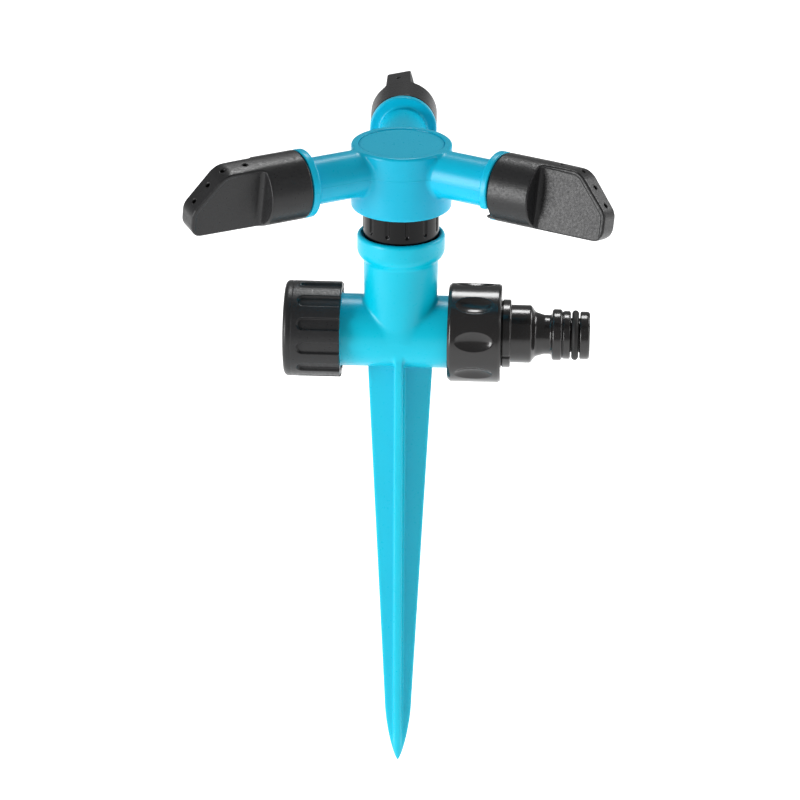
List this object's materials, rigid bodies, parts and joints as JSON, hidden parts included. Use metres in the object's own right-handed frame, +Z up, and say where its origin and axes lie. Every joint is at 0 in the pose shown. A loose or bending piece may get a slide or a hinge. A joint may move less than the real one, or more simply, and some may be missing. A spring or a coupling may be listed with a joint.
{
  "type": "rotary garden sprinkler",
  "caption": "Rotary lawn sprinkler on a ribbed ground spike: a spinning hub with turnable jet nozzles on a tee pipe with a hose nipple, swivel nut and end cap.",
  "frame": {"origin": "the soil line on the spike's axis, 25 mm below the axis of the water pipe", "axes": "+Z up along the spike and the rotor's axis, +X along the water pipe towards the hose nipple, +Y away from the front"},
  "size_m": [0.1435, 0.1262, 0.2414],
  "materials": {
    "blue_plastic": "moulded, semi-gloss",
    "black_plastic": "moulded, fine satin texture",
    "gloss_black_plastic": "moulded, glossy",
    "seal_rubber": "moulded rubber",
    "bearing_plastic": "turned or moulded acetal",
    "spring_steel": "stamped stainless spring steel"
  },
  "bodies": {
    "stand": {"spike_body": "blue_plastic"},
    "cap_seal": {"end_cap_washer": "seal_rubber"},
    "cap": {"end_cap": "black_plastic"},
    "hose_end": {"inlet_nipple": "gloss_black_plastic", "inlet_washer": "seal_rubber", "nipple_o_ring": "seal_rubber"},
    "swivel_nut": {"inlet_nut": "gloss_black_plastic"},
    "head": {"head_spindle": "bearing_plastic", "head_seal": "seal_rubber", "spindle_o_ring": "seal_rubber", "lower_thrust_washer": "bearing_plastic", "upper_thrust_washer": "bearing_plastic", "retaining_ring": "spring_steel"},
    "collar": {"head_collar": "gloss_black_plastic"},
    "rotor": {"rotor_hub": "blue_plastic", "hub_cover": "blue_plastic", "nozzle_o_ring_1": "seal_rubber", "nozzle_o_ring_2": "seal_rubber", "nozzle_o_ring_3": "seal_rubber"},
    "nozzle_back": {"nozzle_1": "black_plastic"},
    "nozzle_left": {"nozzle_2": "black_plastic"},
    "nozzle_right": {"nozzle_3": "black_plastic"}
  },
  "joints": [
    {"name": "rotor_spin", "type": "hinge", "parent": "head", "child": "rotor", "pos_m": [0, 0, 0.071], "axis": [0, 0, 1], "continuous": true},
    {"name": "nozzle_back_turn", "type": "hinge", "parent": "rotor", "child": "nozzle_back", "pos_m": [-0.00162, 0.04297, 0.0855], "axis": [0.0377, -0.9993, 0], "range_deg": [-11, 21]},
    {"name": "nozzle_left_turn", "type": "hinge", "parent": "rotor", "child": "nozzle_left", "pos_m": [-0.0364, -0.02289, 0.0855], "axis": [0.8466, 0.5323, 0], "range_deg": [-11, 21]},
    {"name": "nozzle_right_turn", "type": "hinge", "parent": "rotor", "child": "nozzle_right", "pos_m": [0.03802, -0.02008, 0.0855], "axis": [-0.8843, 0.467, 0], "range_deg": [-11, 21]},
    {"name": "collar_turn", "type": "hinge", "parent": "head", "child": "collar", "pos_m": [0, 0, 0.062], "axis": [0, 0, 1], "range_deg": [0, 1800]},
    {"name": "head_lift", "type": "slide", "parent": "stand", "child": "head", "axis": [0, 0, 1], "range_m": [0, 0.00907]},
    {"name": "cap_turn", "type": "hinge", "parent": "cap_seal", "child": "cap", "pos_m": [-0.03, 0, 0.025], "axis": [-1, 0, 0], "range_deg": [0, 2520]},
    {"name": "cap_travel", "type": "slide", "parent": "stand", "child": "cap_seal", "axis": [-1, 0, 0], "range_m": [0, 0.0127]},
    {"name": "nut_turn", "type": "hinge", "parent": "hose_end", "child": "swivel_nut", "pos_m": [0.026, 0, 0.025], "axis": [1, 0, 0], "range_deg": [0, 2160]},
    {"name": "nut_travel", "type": "slide", "parent": "stand", "child": "hose_end", "axis": [1, 0, 0], "range_m": [0, 0.01088]}
  ],
  "couplings": [
    {"joint": "collar_turn", "follows": "head_lift", "rad_per_m": 3463.7},
    {"joint": "cap_turn", "follows": "cap_travel", "rad_per_m": 3463.7},
    {"joint": "nut_turn", "follows": "nut_travel", "rad_per_m": 3463.7}
  ]
}
